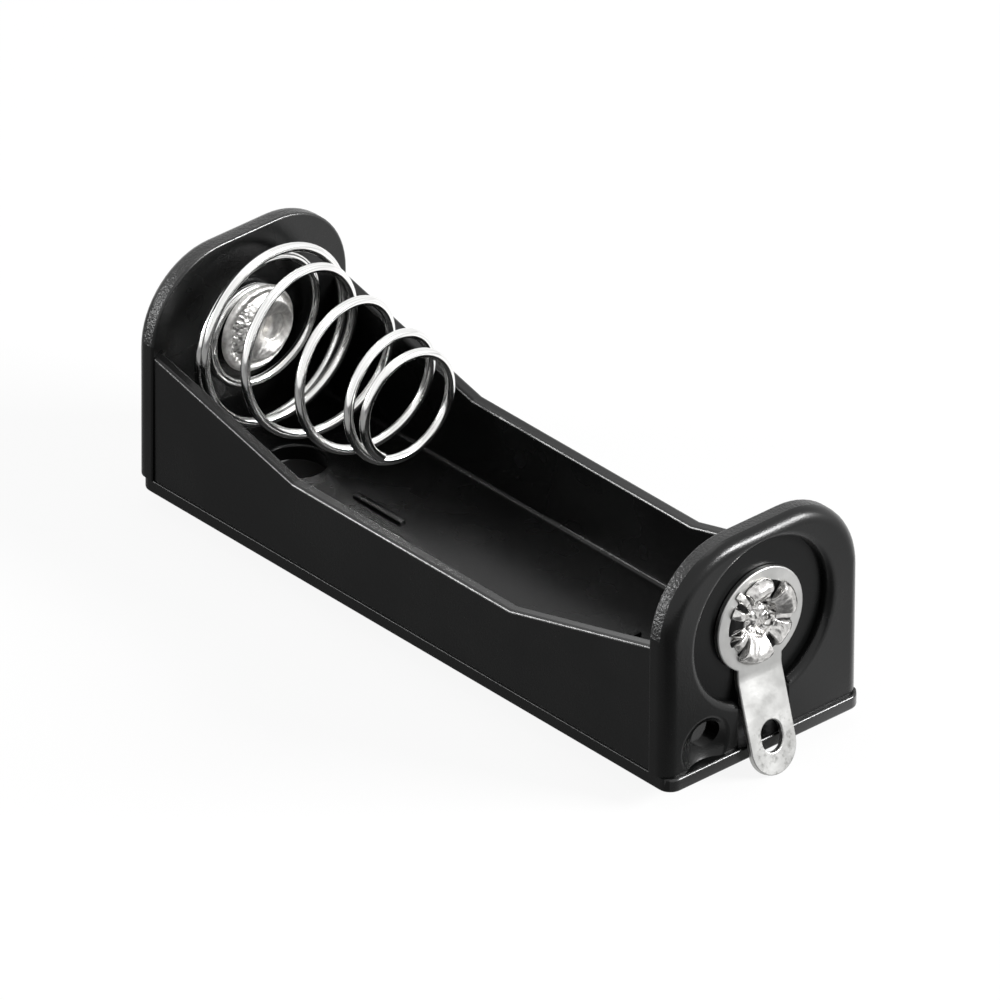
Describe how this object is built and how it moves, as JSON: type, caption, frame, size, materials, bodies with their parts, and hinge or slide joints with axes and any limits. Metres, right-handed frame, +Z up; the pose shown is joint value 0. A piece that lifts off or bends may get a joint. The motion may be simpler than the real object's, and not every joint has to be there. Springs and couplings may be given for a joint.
{
  "type": "n battery holder",
  "caption": "Open moulded tray for a small cylindrical cell, with a conical spring contact at one end, a flat rivet contact at the other and a bent solder lug outside each end plate.",
  "frame": {"origin": "underside of the base, midway between the two screw holes", "axes": "+X along the cell from the spring end to the flat contact, +Y across the tray, +Z up out of the open bay"},
  "size_m": [0.0446, 0.014, 0.0148],
  "materials": {
    "tray_plastic": "black moulded plastic, satin with a fine grain",
    "spring_wire": "bright nickel-plated spring wire",
    "rivet_metal": "nickel-plated, roughened where it was set",
    "lug_metal": "pale satin tin plate"
  },
  "bodies": {
    "root": {"tray": "tray_plastic", "contact_spring": "spring_wire", "spring_rivet": "rivet_metal", "contact_rivet": "rivet_metal", "spring_lug": "lug_metal", "contact_lug": "lug_metal"}
  },
  "joints": []
}
